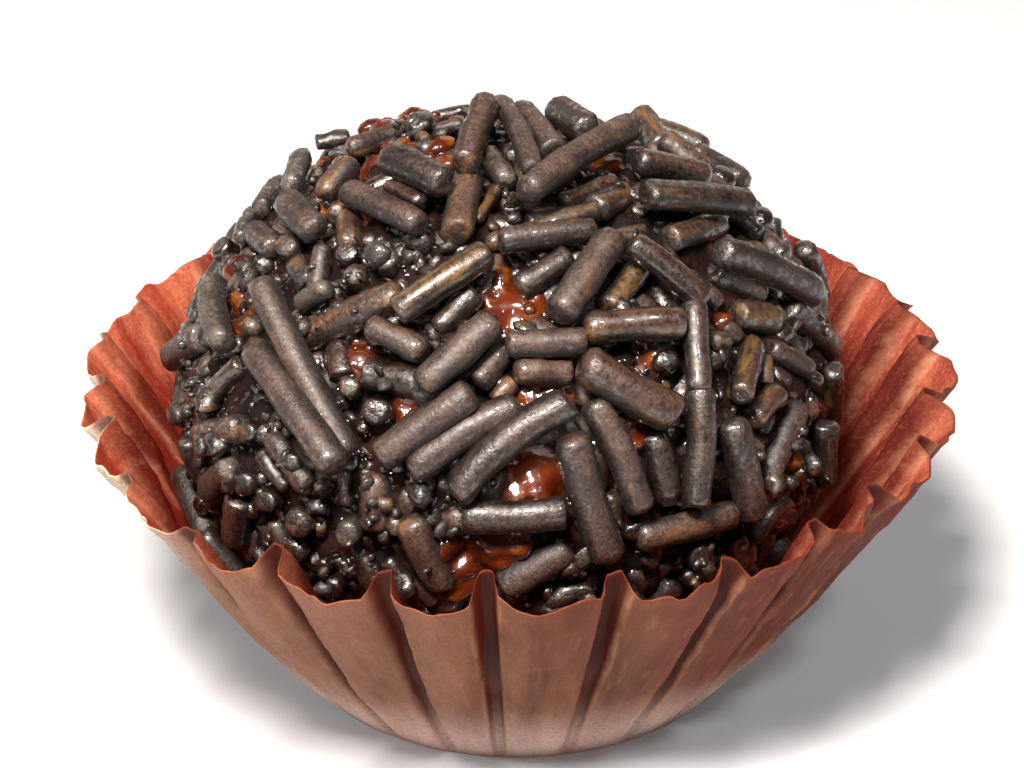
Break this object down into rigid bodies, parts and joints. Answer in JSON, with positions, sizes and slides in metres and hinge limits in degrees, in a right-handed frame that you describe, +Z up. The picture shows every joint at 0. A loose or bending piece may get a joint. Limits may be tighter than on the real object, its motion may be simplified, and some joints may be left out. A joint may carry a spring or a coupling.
{
  "type": "brigadeiro",
  "caption": "Ball of chocolate fudge rolled in chocolate sprinkles, resting in a small fluted paper case.",
  "frame": {"origin": "under the middle of the object's box, on the surface that the paper case stands on", "axes": "+Z up, -Y towards the side that the picture shows, +X to the right of that side"},
  "size_m": [0.0392, 0.0392, 0.0259],
  "materials": {
    "brown_paper": "matte",
    "chocolate_sprinkles": "satin",
    "chocolate_fudge": "gloss"
  },
  "bodies": {
    "root": {"paper_case": "brown_paper", "coated_ball": "chocolate_sprinkles"}
  },
  "joints": []
}
